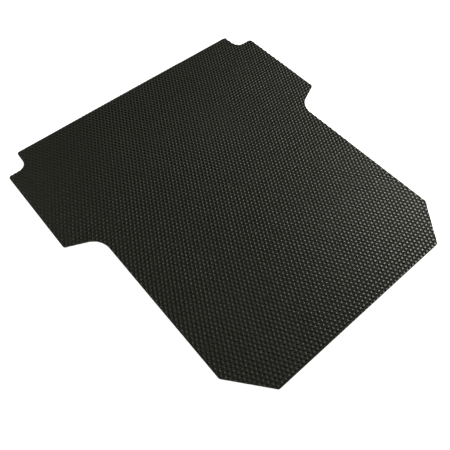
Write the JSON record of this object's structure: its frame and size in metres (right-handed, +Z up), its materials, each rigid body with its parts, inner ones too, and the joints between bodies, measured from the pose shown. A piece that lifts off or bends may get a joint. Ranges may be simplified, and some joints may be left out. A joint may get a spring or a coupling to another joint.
{
  "type": "studded rubber load bed mat",
  "caption": "Flat studded rubber mat for a pickup load bed, die-cut with wheel recesses, front corner notches and cut tail corners.",
  "frame": {"origin": "middle of the outline's bounding box, on the underside that rests on the load floor", "axes": "+Y points to the head of the mat, the bulkhead end, +Z points up out of the studded face, and +X is to the right when looking along +Y"},
  "size_m": [1.586, 1.7, 0.0095],
  "materials": {
    "base_rubber": "matt, moulded against cloth",
    "skim_rubber": "matt, die-cut edge only",
    "tread_rubber": "matt with a dull sheen on the stud tops",
    "woven_ply": "plain-woven cord, seen only at the die-cut edge"
  },
  "bodies": {
    "root": {"base_cover": "base_rubber", "lower_woven_ply": "woven_ply", "skim_layer": "skim_rubber", "upper_woven_ply": "woven_ply", "tread_cover": "tread_rubber", "left_tread_studs": "tread_rubber", "right_tread_studs": "tread_rubber"}
  },
  "joints": []
}
